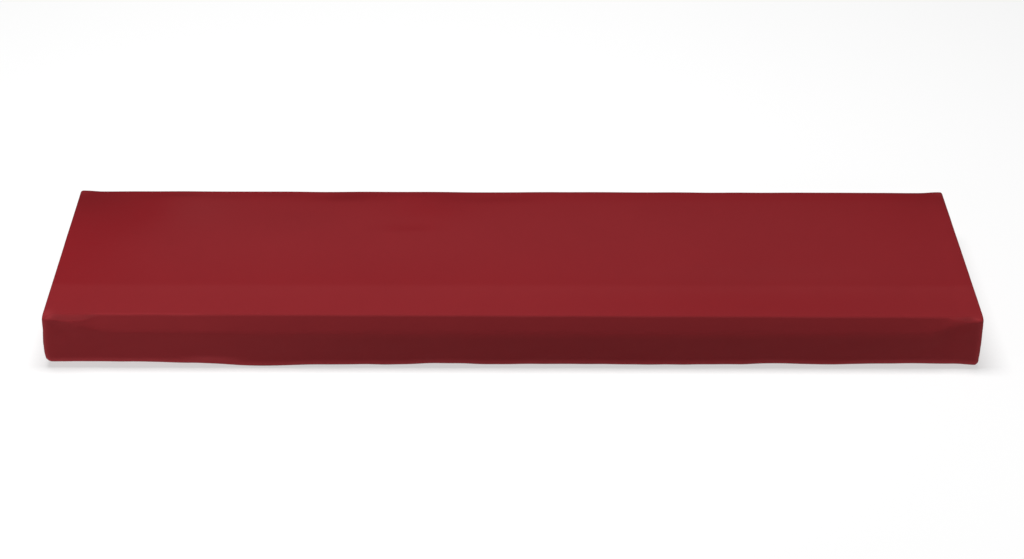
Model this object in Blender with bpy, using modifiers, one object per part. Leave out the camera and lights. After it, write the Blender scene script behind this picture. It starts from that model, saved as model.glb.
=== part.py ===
"""Fitted dust cover of stretch cloth for an 88-note stage keyboard, in the shape it holds when it is on.

The cover is one seamless sheet of knitted cloth. It is drawn over the top and the four sides, and its
hem turns in under the instrument on all sides, so the cover is a hollow shell that is open below.

Axes: +X runs along the keys, +Y to the back and +Z up. The origin is the middle of the underside of
the top, the place where the instrument carries the cloth. All sizes are in metres.
"""

import math

import bmesh
import bpy
from mathutils import Matrix, Vector

# Driving dimensions
LENGTH = 1.290
DEPTH = 0.336
HEIGHT = 0.0745
CLOTH = 0.0015
HEM_WIDTH = 0.038

# Roundings of the edges, and of the corners of the mouth below
FOLD_RADIUS = 0.0022
BACK_RADIUS = 0.005
HEM_RADIUS_LEFT = 0.008
HEM_RADIUS = 0.006
MOUTH_CORNER = 0.060

# Front fold: it lies back from the front, and from it the cloth slopes out to the front
FOLD_SETBACK_LEFT = 0.0137
FOLD_SETBACK_RIGHT = 0.0092
FOLD_RUN_IN = 0.017
FOLD_REACH = 0.085
SLOPE_HEIGHT = 0.0215
SLOPE_HEIGHT_AT_START = 0.15
SLOPE_START = 0.014
SLOPE_RUN_LEFT = 0.088
SLOPE_RUN_RIGHT = 0.064
BEND = 0.12

# Hard blocks below the cloth at both ends: over them the fold is a bevel and a slope
BLOCK_LEFT = 0.061
BLOCK_RIGHT = 0.053
BLOCK_FADE = 0.010
BEVEL_SHARE = 0.38
BEVEL_HEIGHT_LEFT = 0.0034
BEVEL_HEIGHT_RIGHT = 0.0050

# Cheeks: the outermost parts of the blocks hold the cloth up a little
CHEEK_WIDTH = 0.022
CHEEK_FADE = 0.012
CHEEK_RISE = 0.0012
KEY_BED_FALL = 0.0003
KEY_BED_EDGE = 0.087
TOP_FADE = 0.012

# Ends: the side cloth swells out, most at three quarters of the way down
LEFT_SWELL = 0.0024
RIGHT_SWELL = 0.0006
SWELL_PEAK = 0.75
SWELL_FADE = 0.024
SWELL_LOST_AT_BACK = 0.5

# Cuts of the box, as distances from its ends, its front, its back and its top
END_CUTS = (0.0010, 0.0022, 0.0060, 0.0100, 0.0150, 0.0200, 0.0280, 0.0380, 0.0470, 0.0580, 0.0690, 0.0880)
FRONT_CUTS = (0.0010, 0.0022, 0.0060, 0.0160, 0.0380, 0.0830)
BACK_CUTS = (0.0010, 0.0022, 0.0060, 0.0380)
TOP_CUTS = (0.0010, 0.0022, 0.0034, 0.0050, 0.0090, 0.0140, 0.0190, 0.0215, 0.0240, 0.0400, 0.0570, 0.0685, 0.0720)
LENGTH_STEPS = 30
DEPTH_STEPS = 5
SAME_POINT = 1e-5

# Lower edge of the front: place along X, height of the front there
HEM_LINE = (
    (-0.645, 0.0746),
    (-0.620, 0.0738),
    (-0.580, 0.0728),
    (-0.530, 0.0731),
    (-0.445, 0.0760),
    (-0.350, 0.0806),
    (-0.260, 0.0782),
    (-0.155, 0.0780),
    (-0.096, 0.0760),
    (-0.030, 0.0777),
    (0.080, 0.0768),
    (0.165, 0.0771),
    (0.236, 0.0780),
    (0.310, 0.0763),
    (0.364, 0.0748),
    (0.430, 0.0767),
    (0.560, 0.0744),
    (0.610, 0.0752),
    (0.645, 0.0776),
)
BACK_HEIGHT = 0.0760
HEM_DRAWN_UP = 0.7

# Soft dips and crests of the top: centre X and Y, half width and half depth, rise
RIPPLE_REACH = 1.6
TOP_RIPPLES = (
    (-0.485, 0.138, 0.045, 0.022, 0.0009),
    (-0.415, 0.101, 0.060, 0.030, 0.0006),
    (-0.280, 0.150, 0.055, 0.018, -0.0012),
    (-0.150, 0.064, 0.034, 0.014, -0.0012),
    (-0.178, 0.042, 0.030, 0.014, 0.0006),
    (-0.090, 0.110, 0.058, 0.028, -0.0010),
    (-0.040, 0.156, 0.070, 0.014, -0.0012),
    (0.280, 0.150, 0.045, 0.016, -0.0009),
    (0.342, 0.146, 0.030, 0.016, 0.0006),
    (-0.600, 0.120, 0.035, 0.050, -0.0010),
    (0.605, 0.120, 0.035, 0.050, -0.0008),
)

# Slanting folds on the front beside the cheeks: upper end X and Z, lower end X and Z, half width, depth
CORNER_FOLDS = (
    (-0.628, -0.006, -0.612, -0.024, 0.007, 0.0007),
    (0.618, -0.006, 0.604, -0.022, 0.008, 0.0010),
)

# Finish of the cloth
RED_KNIT = (0.250, 0.022, 0.027, 1.0)
KNIT_ROUGHNESS = 0.72

HALF_LENGTH = LENGTH / 2
HALF_DEPTH = DEPTH / 2
TOP_Z = CLOTH
BOTTOM_Z = TOP_Z - HEIGHT


def clear_scene():
    """Remove every object that the file opened with."""
    for item in list(bpy.data.objects):
        bpy.data.objects.remove(item, do_unlink=True)


def clamp(value, low, high):
    """Keep a value between two limits."""
    return max(low, min(high, value))


def ease(start, end, value):
    """Go smoothly from 0 at start to 1 at end."""
    share = clamp((value - start) / (end - start), 0.0, 1.0)
    return share * share * (3.0 - 2.0 * share)


def end_distance(x):
    """Distance of a place along X from the nearer end of the cover."""
    return HALF_LENGTH - abs(x)


def cut_stations():
    """Planes that cut the box, each as a point on the plane and its direction."""
    inner_length = LENGTH - 2 * END_CUTS[-1]
    first_y = -HALF_DEPTH + FRONT_CUTS[-1]
    last_y = HALF_DEPTH - BACK_CUTS[-1]
    xs = [side * (HALF_LENGTH - cut) for cut in END_CUTS for side in (-1, 1)]
    xs += [inner_length * (step / LENGTH_STEPS - 0.5) for step in range(1, LENGTH_STEPS)]
    ys = [-HALF_DEPTH + cut for cut in FRONT_CUTS]
    ys += [HALF_DEPTH - cut for cut in BACK_CUTS]
    ys += [first_y + (last_y - first_y) * step / DEPTH_STEPS for step in range(1, DEPTH_STEPS)]
    zs = [TOP_Z - cut for cut in TOP_CUTS]
    planes = [(Vector((x, 0, 0)), Vector((1, 0, 0))) for x in xs]
    planes += [(Vector((0, y, 0)), Vector((0, 1, 0))) for y in ys]
    planes += [(Vector((0, 0, z)), Vector((0, 0, 1))) for z in zs]
    return planes


def boxed_sheet():
    """A box cut into rows and columns, its underside open but for the turned-in hem."""
    sheet = bmesh.new()
    centre = Matrix.Translation((0, 0, (TOP_Z + BOTTOM_Z) / 2))
    bmesh.ops.create_cube(sheet, size=1.0, matrix=centre @ Matrix.Diagonal((LENGTH, DEPTH, HEIGHT, 1)))
    for point, direction in cut_stations():
        everything = sheet.verts[:] + sheet.edges[:] + sheet.faces[:]
        bmesh.ops.bisect_plane(sheet, geom=everything, dist=SAME_POINT, plane_co=point, plane_no=direction)
    mouth = [face for face in sheet.faces if is_mouth(face.calc_center_median())]
    bmesh.ops.delete(sheet, geom=mouth, context="FACES")
    return sheet


def is_mouth(point):
    """Tell whether a point of the box lies in the opening below."""
    below = point.z < BOTTOM_Z + SAME_POINT
    return below and end_distance(point.x) > HEM_WIDTH and HALF_DEPTH - abs(point.y) > HEM_WIDTH


def inset_below(point):
    """How far a point of the underside lies in from the cover's nearest side."""
    if point.z > BOTTOM_Z + SAME_POINT:
        return 0.0
    return min(end_distance(point.x), HALF_DEPTH - abs(point.y))


def over_block(x):
    """1 over the hard blocks at both ends, 0 between them."""
    width = BLOCK_LEFT if x < 0 else BLOCK_RIGHT
    return 1.0 - ease(-BLOCK_FADE, BLOCK_FADE, end_distance(x) - width)


def edge_radius(point):
    """Radius of the box's edges near a point: sharp at the front fold, softer at the back and the hem."""
    share_back = (point.y + HALF_DEPTH) / DEPTH
    share_down = (TOP_Z - point.z) / HEIGHT
    above = FOLD_RADIUS + (BACK_RADIUS - FOLD_RADIUS) * share_back
    from_left = ease(0.0, BLOCK_LEFT, point.x + HALF_LENGTH)
    below = HEM_RADIUS_LEFT + (HEM_RADIUS - HEM_RADIUS_LEFT) * from_left
    return above + (below - above) * share_down


def rounded(point):
    """Bend a point of the box onto the same box with rounded edges and corners."""
    radius = edge_radius(point)
    core = Vector((
        clamp(point.x, radius - HALF_LENGTH, HALF_LENGTH - radius),
        clamp(point.y, radius - HALF_DEPTH, HALF_DEPTH - radius),
        clamp(point.z, BOTTOM_Z + radius, TOP_Z - radius),
    ))
    return core + (point - core).normalized() * radius


def rounded_mouth(point, inset):
    """Bend a point of the hem's strip onto the ring that rounds off towards the mouth's corners."""
    radius = MOUTH_CORNER * (inset - HEM_RADIUS) / (HEM_WIDTH - HEM_RADIUS)
    half_x = HALF_LENGTH - inset
    half_y = HALF_DEPTH - inset
    core = Vector((
        clamp(point.x, radius - half_x, half_x - radius),
        clamp(point.y, radius - half_y, half_y - radius),
        point.z,
    ))
    reach = point - core
    return core + reach.normalized() * radius if reach.length > radius else point


def front_height(x):
    """Height of the front at a place along X, eased between the rows of the hem line."""
    x = clamp(x, HEM_LINE[0][0], HEM_LINE[-1][0])
    for (x_before, before), (x_after, after) in zip(HEM_LINE, HEM_LINE[1:]):
        if x <= x_after:
            return before + (after - before) * ease(x_before, x_after, x)
    return HEM_LINE[-1][1]


def hem_shift(point, inset):
    """How far the uneven hem pulls a point down."""
    front_share = 1.0 - ease(-HALF_DEPTH, HALF_DEPTH, point.y)
    height = BACK_HEIGHT + (front_height(point.x) - BACK_HEIGHT) * front_share
    down = clamp((TOP_Z - point.z) / HEIGHT, 0.0, 1.0)
    hanging = 1.0 - HEM_DRAWN_UP * ease(HEM_RADIUS, HEM_WIDTH, inset)
    return -(height - HEIGHT) * down * hanging


def bent(share):
    """A straight slope, 1 at share 1, that runs out into the level at share 0 over a soft bend."""
    return (share + math.hypot(share, BEND)) / (1.0 + math.hypot(1.0, BEND))


def fold_shift(point):
    """How far the front lies back: over the blocks' bevel, the slope below it, and what leans to the hem."""
    down = TOP_Z - point.z
    slope_run = SLOPE_RUN_LEFT if point.x < 0 else SLOPE_RUN_RIGHT
    run = clamp((end_distance(point.x) - SLOPE_START) / (slope_run - SLOPE_START), 0.0, 1.0)
    bevel = BEVEL_SHARE * over_block(point.x)
    slope_height = SLOPE_HEIGHT * (SLOPE_HEIGHT_AT_START + (1.0 - SLOPE_HEIGHT_AT_START) * run)
    leaning = clamp(1.0 - down / HEIGHT, 0.0, 1.0)
    profile = bevel * bent(1.0 - down / (BEVEL_HEIGHT_LEFT if point.x < 0 else BEVEL_HEIGHT_RIGHT))
    profile += (1.0 - bevel) * (run * bent(1.0 - down / slope_height) + (1.0 - run) * leaning)
    setback = FOLD_SETBACK_LEFT + (FOLD_SETBACK_RIGHT - FOLD_SETBACK_LEFT) * (point.x / LENGTH + 0.5)
    setback *= ease(0.0, FOLD_RUN_IN, end_distance(point.x))
    behind_front = point.y + HALF_DEPTH
    reach = clamp(1.0 - (behind_front - HEM_RADIUS) / FOLD_REACH, 0.0, 1.0)
    return setback * profile * reach


def top_shift(point):
    """How far the top rises or falls: cheeks, the fall over the keys, dips and crests."""
    on_top = ease(TOP_FADE, 0.0, TOP_Z - point.z)
    cheek = 1.0 - ease(CHEEK_WIDTH - CHEEK_FADE, CHEEK_WIDTH + CHEEK_FADE, end_distance(point.x))
    over_keys = 1.0 - ease(0.0, KEY_BED_EDGE, point.y + HALF_DEPTH)
    rise = CHEEK_RISE * cheek - KEY_BED_FALL * over_keys * (1.0 - cheek)
    for x, y, half_width, half_depth, height in TOP_RIPPLES:
        distance = math.hypot((point.x - x) / half_width, (point.y - y) / half_depth)
        rise += height * (1.0 - ease(0.0, RIPPLE_REACH, distance))
    return rise * on_top


def swell_shift(point):
    """How far an end swells out along X."""
    size = LEFT_SWELL if point.x < 0 else RIGHT_SWELL
    down = clamp((TOP_Z - point.z) / HEIGHT, 0.0, 1.0)
    power = math.log(0.5) / math.log(SWELL_PEAK)
    at_end = 1.0 - ease(0.0, SWELL_FADE, end_distance(point.x))
    forward = 1.0 - SWELL_LOST_AT_BACK * ease(-HALF_DEPTH, HALF_DEPTH, point.y)
    return math.copysign(size * math.sin(math.pi * down**power) * at_end * forward, point.x)


def corner_fold_shift(point):
    """How far the slanting folds beside the cheeks press the front in."""
    if point.y > -HALF_DEPTH + HEM_RADIUS:
        return 0.0
    depth = 0.0
    for x_up, z_up, x_low, z_low, half_width, fold_depth in CORNER_FOLDS:
        upper = Vector((x_up, z_up))
        run = Vector((x_low, z_low)) - upper
        place = Vector((point.x, point.z)) - upper
        along = clamp(place.dot(run) / run.length_squared, 0.0, 1.0)
        away = (place - run * along).length
        depth += fold_depth * (1.0 - ease(0.0, half_width * 2, away))
    return depth


def shaped(point):
    """Place of a box point on the cover as it sits on the instrument."""
    inset = inset_below(point)
    place = rounded(point)
    if inset > HEM_RADIUS:
        place = rounded_mouth(place, inset)
    shift = Vector((
        swell_shift(point),
        fold_shift(point) + corner_fold_shift(point),
        top_shift(point) + hem_shift(point, inset),
    ))
    return place + shift


def knit_material():
    """Red stretch knit, matt with a soft sheen."""
    material = bpy.data.materials.new("red_knit")
    material.use_nodes = True
    shader = material.node_tree.nodes["Principled BSDF"]
    shader.inputs["Base Color"].default_value = RED_KNIT
    shader.inputs["Roughness"].default_value = KNIT_ROUGHNESS
    shader.inputs["Metallic"].default_value = 0.0
    return material


def make_cover(collection):
    """The cover: the shaped sheet, given the cloth's thickness towards the inside."""
    sheet = boxed_sheet()
    for vert in sheet.verts:
        vert.co = shaped(vert.co.copy())
    bmesh.ops.recalc_face_normals(sheet, faces=sheet.faces[:])
    mesh = bpy.data.meshes.new("cover")
    sheet.to_mesh(mesh)
    sheet.free()
    mesh.shade_smooth()
    mesh.materials.append(knit_material())
    cover = bpy.data.objects.new("cover", mesh)
    collection.objects.link(cover)
    cloth = cover.modifiers.new("cloth thickness", "SOLIDIFY")
    cloth.thickness = CLOTH
    cloth.offset = -1.0
    cloth.use_even_offset = True
    cloth.use_rim = True
    return cover


def main():
    """Build the cover in a collection of its own."""
    clear_scene()
    collection = bpy.data.collections.new("keyboard_dust_cover")
    bpy.context.scene.collection.children.link(collection)
    make_cover(collection)


main()
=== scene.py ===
"""Looks of a fitted dust cover of red stretch knit for a stage keyboard, drawn tight over its instrument.

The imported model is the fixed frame: one hollow cover that hangs from the underside of its top. Here the
cover gets its fine cloth, with the folds and the uneven hem of the real one, the rolled hem with its
twin rows of stitches, and a knit whose loops are as large as real ones. All sizes are in metres, in the
frame's own axes: +X along the keys, +Y to the back and +Z up, from the middle of the top's underside.
"""

import logging
import math
from dataclasses import dataclass, field
from typing import Any, Sequence

import bmesh
import bpy
import numpy as np
from mathutils import Matrix, Vector


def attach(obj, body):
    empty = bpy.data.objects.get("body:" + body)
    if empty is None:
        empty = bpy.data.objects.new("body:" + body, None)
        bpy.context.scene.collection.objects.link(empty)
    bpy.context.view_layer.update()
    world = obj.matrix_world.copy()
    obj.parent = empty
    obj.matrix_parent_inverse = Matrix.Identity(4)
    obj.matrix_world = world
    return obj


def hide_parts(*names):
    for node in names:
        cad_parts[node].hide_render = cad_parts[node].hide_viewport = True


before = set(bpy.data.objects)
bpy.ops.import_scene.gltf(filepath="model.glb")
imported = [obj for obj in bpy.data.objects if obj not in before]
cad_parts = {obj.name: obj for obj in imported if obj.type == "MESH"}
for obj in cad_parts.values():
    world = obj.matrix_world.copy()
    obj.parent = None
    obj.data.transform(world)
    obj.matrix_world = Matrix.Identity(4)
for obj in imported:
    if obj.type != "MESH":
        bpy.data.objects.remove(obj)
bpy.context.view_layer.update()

log = logging.getLogger("dust_cover")

Array = np.ndarray
Colour = tuple[float, float, float]

# Places that are closer than this count as one
HAIR = 1e-6


def ease(start: float, end: float, value: Array) -> Array:
    """Shares that go smoothly from 0 at the value start to 1 at the value end, which may be the lower."""
    share = np.clip((value - start) / (end - start), 0.0, 1.0)
    return share * share * (3.0 - 2.0 * share)


def bell(distance: Array, width: float) -> Array:
    """A smooth hump of height 1 at distance 0 that is gone at about twice its width."""
    return np.exp(-((distance / width) ** 2))


def spaced(start: float, end: float, step: float) -> list[float]:
    """Even places from start to end, both kept, no further apart than step."""
    count = max(1, math.ceil(abs(end - start) / step))
    return [start + (end - start) * index / count for index in range(count + 1)]


@dataclass(frozen=True)
class CoverSizes:
    """Driving sizes of the cover as it sits on the instrument."""

    length: float = 1.290
    depth: float = 0.336
    height: float = 0.0745
    cloth: float = 0.0015
    hem_width: float = 0.038
    fold_radius: float = 0.0022
    back_radius: float = 0.005
    hem_radius_left: float = 0.008
    hem_radius: float = 0.006
    mouth_corner: float = 0.060
    back_height: float = 0.0760
    hem_drawn_up: float = 0.7

    @property
    def half_length(self) -> float:
        """Half of the length."""
        return self.length / 2

    @property
    def half_depth(self) -> float:
        """Half of the depth."""
        return self.depth / 2

    @property
    def top(self) -> float:
        """Height of the cloth's outer face at the middle of the top."""
        return self.cloth

    @property
    def bottom(self) -> float:
        """Height of the outer face below, before the hem's unevenness."""
        return self.top - self.height

    @property
    def round_trip(self) -> float:
        """Way once round the wall."""
        return 2 * (self.length + self.depth)


@dataclass(frozen=True)
class FrontFold:
    """The long fold of the front. It lies back, and is soft over the end blocks and sharp between them."""

    setback_left: float = 0.0133
    setback_right: float = 0.0092
    run_in: float = 0.017
    bevel_share_left: float = 0.86
    bevel_share_right: float = 0.88
    bevel_height_left: float = 0.0032
    bevel_height_right: float = 0.0036
    slope_height: float = 0.0215
    slope_height_at_start: float = 0.15
    slope_start: float = 0.014
    slope_run_left: float = 0.088
    slope_run_right: float = 0.070
    bend: float = 0.12
    reach: float = 0.085
    block_left: float = 0.064
    block_right: float = 0.036
    block_fade: float = 0.016
    cheek_width: float = 0.022
    cheek_fade: float = 0.012
    cheek_rise: float = 0.0012
    key_bed_fall: float = 0.0003
    key_bed_edge: float = 0.087
    top_fade: float = 0.012


@dataclass(frozen=True)
class EndSwell:
    """How the cloth of the two ends swells out."""

    left: float = 0.0024
    right: float = 0.0006
    peak: float = 0.75
    fade: float = 0.024
    lost_at_back: float = 0.5
    tuck: float = 0.0009
    tuck_place: float = 0.15
    tuck_reach: float = 0.20
    tip_draw: float = 0.0011
    tip_reach: float = 0.0075


# Lower edge of the front: place along X, height of the front there
HEM_LINE = (
    (-0.645, 0.0748),
    (-0.620, 0.0743),
    (-0.580, 0.0736),
    (-0.530, 0.0741),
    (-0.445, 0.0759),
    (-0.350, 0.0809),
    (-0.260, 0.0785),
    (-0.155, 0.0780),
    (-0.096, 0.0760),
    (-0.030, 0.0777),
    (0.080, 0.0771),
    (0.165, 0.0775),
    (0.236, 0.0780),
    (0.310, 0.0768),
    (0.364, 0.0754),
    (0.430, 0.0770),
    (0.560, 0.0750),
    (0.610, 0.0756),
    (0.645, 0.0776),
)

# Soft dips and crests of the top: centre X and Y, half width and half depth, rise
TOP_RIPPLES = (
    (-0.485, 0.138, 0.045, 0.022, 0.0009),
    (-0.415, 0.101, 0.060, 0.030, 0.0006),
    (-0.280, 0.150, 0.055, 0.018, -0.0012),
    (-0.150, 0.064, 0.034, 0.014, -0.0012),
    (-0.178, 0.042, 0.030, 0.014, 0.0006),
    (-0.090, 0.110, 0.058, 0.028, -0.0010),
    (-0.040, 0.156, 0.070, 0.014, -0.0012),
    (0.280, 0.150, 0.045, 0.016, -0.0009),
    (0.342, 0.146, 0.030, 0.016, 0.0006),
    (-0.600, 0.120, 0.035, 0.050, -0.0010),
    (0.605, 0.120, 0.035, 0.050, -0.0008),
)
RIPPLE_REACH = 1.6

# Slanting folds on the front beside the cheeks: upper end X and Z, lower end X and Z, half width, depth
CORNER_FOLDS = (
    (-0.628, -0.006, -0.612, -0.024, 0.007, 0.0007),
    (0.618, -0.006, 0.604, -0.022, 0.008, 0.0010),
)


@dataclass(frozen=True)
class Waves:
    """Many small waves added up: the unevenness that stretched cloth keeps."""

    seed: int
    count: int
    longest: float
    shortest: float
    height: float

    def over_plane(self, x: Array, y: Array) -> Array:
        """Height of the waves at places of a plane.

        Args:
            x: places along the first axis.
            y: places along the second axis.

        Returns:
            Heights, about as large as the height given.
        """
        draw = np.random.default_rng(self.seed)
        total = np.zeros_like(x)
        for _ in range(self.count):
            length = draw.uniform(self.shortest, self.longest)
            heading, start = draw.uniform(0.0, 2 * math.pi, 2)
            way = x * math.cos(heading) + y * math.sin(heading)
            total += np.sin(2 * math.pi * way / length + start)
        return total * self.height / math.sqrt(self.count)

    def round_ring(self, around: Array, ring: float) -> Array:
        """Height of the waves round a closed ring, where they join without a step.

        Args:
            around: way round the ring.
            ring: whole way round.

        Returns:
            Heights, about as large as the height given.
        """
        draw = np.random.default_rng(self.seed)
        total = np.zeros_like(around)
        for _ in range(self.count):
            waves_round = round(ring / draw.uniform(self.shortest, self.longest))
            start = draw.uniform(0.0, 2 * math.pi)
            total += np.sin(2 * math.pi * waves_round * around / ring + start)
        return total * self.height / math.sqrt(self.count)


@dataclass
class Places:
    """Places on the cover's cloth, told by where they lie on the plain box that it is cut for."""

    x: Array
    y: Array
    down: Array
    inset: Array
    lip: Array
    around: Array


@dataclass(frozen=True)
class CoverForm:
    """The shape of the cloth: takes a place of the plain box to its place on the instrument."""

    sizes: CoverSizes = CoverSizes()
    fold: FrontFold = FrontFold()
    swell: EndSwell = EndSwell()
    lip_radius: float = 0.0016
    gather_height: float = 0.0011
    gather_at_corners: float = 1.4
    seam_offset: float = 0.0066
    seam_depth: float = 0.0006
    seam_width: float = 0.0008
    shoulder_place: float = 0.0022
    shoulder_width: float = 0.0012
    shoulder_share: float = 0.45
    seam_start: float = 0.001
    seam_full: float = 0.006
    pucker_length: float = 0.0085
    pucker_share: float = 0.4
    top_waves: Waves = Waves(seed=11, count=26, longest=0.190, shortest=0.060, height=0.00014)
    side_waves: Waves = Waves(seed=23, count=22, longest=0.120, shortest=0.034, height=0.00022)
    gathers: Waves = Waves(seed=31, count=20, longest=0.040, shortest=0.018, height=1.0)
    level_middle: float = 0.06
    even_below_fold: float = 0.3
    side_waves_slant: float = 2.5

    def boxed(self, places: Places) -> Array:
        """Points of the plain box, with the hem turned in under it.

        Args:
            places: places on the cloth.

        Returns:
            The points, one row each.
        """
        size = self.sizes
        x = places.x * (1 - 2 * places.inset / size.length)
        y = places.y * (1 - 2 * places.inset / size.depth)
        return np.stack([x, y, size.top - places.down], axis=1)

    def edge_radius(self, box: Array) -> Array:
        """Radius of the box's edges near points: sharp at the front fold, softer at the back and the hem.

        Args:
            box: points of the plain box.

        Returns:
            The radius at each point.
        """
        size = self.sizes
        share_back = (box[:, 1] + size.half_depth) / size.depth
        share_down = (size.top - box[:, 2]) / size.height
        above = size.fold_radius + (size.back_radius - size.fold_radius) * share_back
        from_left = ease(0.0, self.fold.block_left, box[:, 0] + size.half_length)
        below = size.hem_radius_left + (size.hem_radius - size.hem_radius_left) * from_left
        return above + (below - above) * share_down

    def rounded(self, box: Array) -> tuple[Array, Array]:
        """Round the box's edges and corners.

        Args:
            box: points of the plain box.

        Returns:
            The points on the rounded box, and the directions in which they face.
        """
        size = self.sizes
        radius = self.edge_radius(box)
        core = np.stack([
            np.clip(box[:, 0], radius - size.half_length, size.half_length - radius),
            np.clip(box[:, 1], radius - size.half_depth, size.half_depth - radius),
            np.clip(box[:, 2], size.bottom + radius, size.top - radius),
        ], axis=1)
        facing = box - core
        facing /= np.linalg.norm(facing, axis=1, keepdims=True)
        return core + facing * radius[:, None], facing

    def rounded_mouth(self, points: Array, inset: Array) -> Array:
        """Round the hem's rings off towards the corners of the mouth.

        Args:
            points: points of the rounded box.
            inset: how far in under the cover each of them lies.

        Returns:
            The points with the hem rounded off.
        """
        size = self.sizes
        turned = np.maximum(inset - size.hem_radius, 0.0)
        radius = size.mouth_corner * turned / (size.hem_width - size.hem_radius)
        half = np.stack([size.half_length - inset, size.half_depth - inset], axis=1)
        core = np.clip(points[:, :2], radius[:, None] - half, half - radius[:, None])
        reach = points[:, :2] - core
        length = np.maximum(np.linalg.norm(reach, axis=1), 1e-9)
        scale = np.where((turned > 0) & (length > radius), radius / length, 1.0)
        rounded = points.copy()
        rounded[:, :2] = core + reach * scale[:, None]
        return rounded

    def front_height(self, x: Array) -> Array:
        """Height of the front at places along X, eased between the rows of the hem line.

        Args:
            x: places along X.

        Returns:
            The height at each place.
        """
        rows = np.array(HEM_LINE)
        x = np.clip(x, rows[0, 0], rows[-1, 0])
        after = np.clip(np.searchsorted(rows[:, 0], x), 1, len(rows) - 1)
        start, end = rows[after - 1], rows[after]
        share = (x - start[:, 0]) / (end[:, 0] - start[:, 0])
        return start[:, 1] + (end[:, 1] - start[:, 1]) * ease(0.0, 1.0, share)

    def hem_shift(self, box: Array, inset: Array) -> Array:
        """How far the uneven hem pulls the cloth down.

        Args:
            box: points of the plain box.
            inset: how far in under the cover each of them lies.

        Returns:
            The shift along Z, less than 0 where the cloth goes down.
        """
        size = self.sizes
        front_share = 1 - ease(-size.half_depth, size.half_depth, box[:, 1])
        height = size.back_height + (self.front_height(box[:, 0]) - size.back_height) * front_share
        down = np.clip((size.top - box[:, 2]) / size.height, 0.0, 1.0)
        hanging = 1 - size.hem_drawn_up * ease(size.hem_radius, size.hem_width, inset)
        return -(height - size.height) * down * hanging

    def end_distance(self, x: Array) -> Array:
        """Distance from the nearer end of the cover."""
        return self.sizes.half_length - np.abs(x)

    def over_block(self, x: Array) -> Array:
        """How far places lie over the hard blocks at both ends.

        Args:
            x: places along X.

        Returns:
            Shares from 0 to 1.
        """
        fold = self.fold
        width = np.where(x < 0, fold.block_left, fold.block_right)
        return 1 - ease(-fold.block_fade, fold.block_fade, self.end_distance(x) - width)

    def slope_run(self, x: Array) -> Array:
        """How far the slope below the fold has widened.

        Args:
            x: places along X.

        Returns:
            Shares, 0 at the ends and 1 from the end of the run on.
        """
        fold = self.fold
        end = np.where(x < 0, fold.slope_run_left, fold.slope_run_right)
        return np.clip((self.end_distance(x) - fold.slope_start) / (end - fold.slope_start), 0.0, 1.0)

    def slope_height(self, x: Array) -> Array:
        """How far down the slope below the fold reaches."""
        run = self.slope_run(x)
        return self.fold.slope_height * (run + (1 - run) * self.fold.slope_height_at_start)

    def bent(self, share: Array) -> Array:
        """A straight slope, 1 at share 1, that runs out into the level at share 0 over a soft bend."""
        bend = self.fold.bend
        return (share + np.sqrt(share**2 + bend**2)) / (1 + math.sqrt(1 + bend**2))

    def fold_shift(self, box: Array) -> Array:
        """How far the front lies back: the blocks' bevel, the slope below it, and what leans to the hem.

        Args:
            box: points of the plain box.

        Returns:
            The shift along Y.
        """
        size, fold = self.sizes, self.fold
        down = size.top - box[:, 2]
        run = self.slope_run(box[:, 0])
        at_left = box[:, 0] < 0
        bevel = np.where(at_left, fold.bevel_share_left, fold.bevel_share_right) * self.over_block(box[:, 0])
        bevel_height = np.where(at_left, fold.bevel_height_left, fold.bevel_height_right)
        sloped = self.bent(1 - down / self.slope_height(box[:, 0]))
        leaning = np.clip(1 - down / size.height, 0.0, 1.0)
        profile = bevel * self.bent(1 - down / bevel_height)
        profile += (1 - bevel) * (run * sloped + (1 - run) * leaning)
        share_right = box[:, 0] / size.length + 0.5
        setback = fold.setback_left + (fold.setback_right - fold.setback_left) * share_right
        setback = setback * ease(0.0, fold.run_in, self.end_distance(box[:, 0]))
        behind_front = box[:, 1] + size.half_depth
        reach = np.clip(1 - (behind_front - size.hem_radius) / fold.reach, 0.0, 1.0)
        return setback * profile * reach

    def top_shift(self, box: Array) -> Array:
        """How far the top rises or falls: cheeks, the fall over the keys, dips and crests.

        Args:
            box: points of the plain box.

        Returns:
            The shift along Z.
        """
        size, fold = self.sizes, self.fold
        on_top = ease(fold.top_fade, 0.0, size.top - box[:, 2])
        start, end = fold.cheek_width - fold.cheek_fade, fold.cheek_width + fold.cheek_fade
        cheek = 1 - ease(start, end, self.end_distance(box[:, 0]))
        over_keys = 1 - ease(0.0, fold.key_bed_edge, box[:, 1] + size.half_depth)
        rise = fold.cheek_rise * cheek - fold.key_bed_fall * over_keys * (1 - cheek)
        for x, y, half_width, half_depth, height in TOP_RIPPLES:
            distance = np.hypot((box[:, 0] - x) / half_width, (box[:, 1] - y) / half_depth)
            rise = rise + height * (1 - ease(0.0, RIPPLE_REACH, distance))
        return rise * on_top

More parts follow.
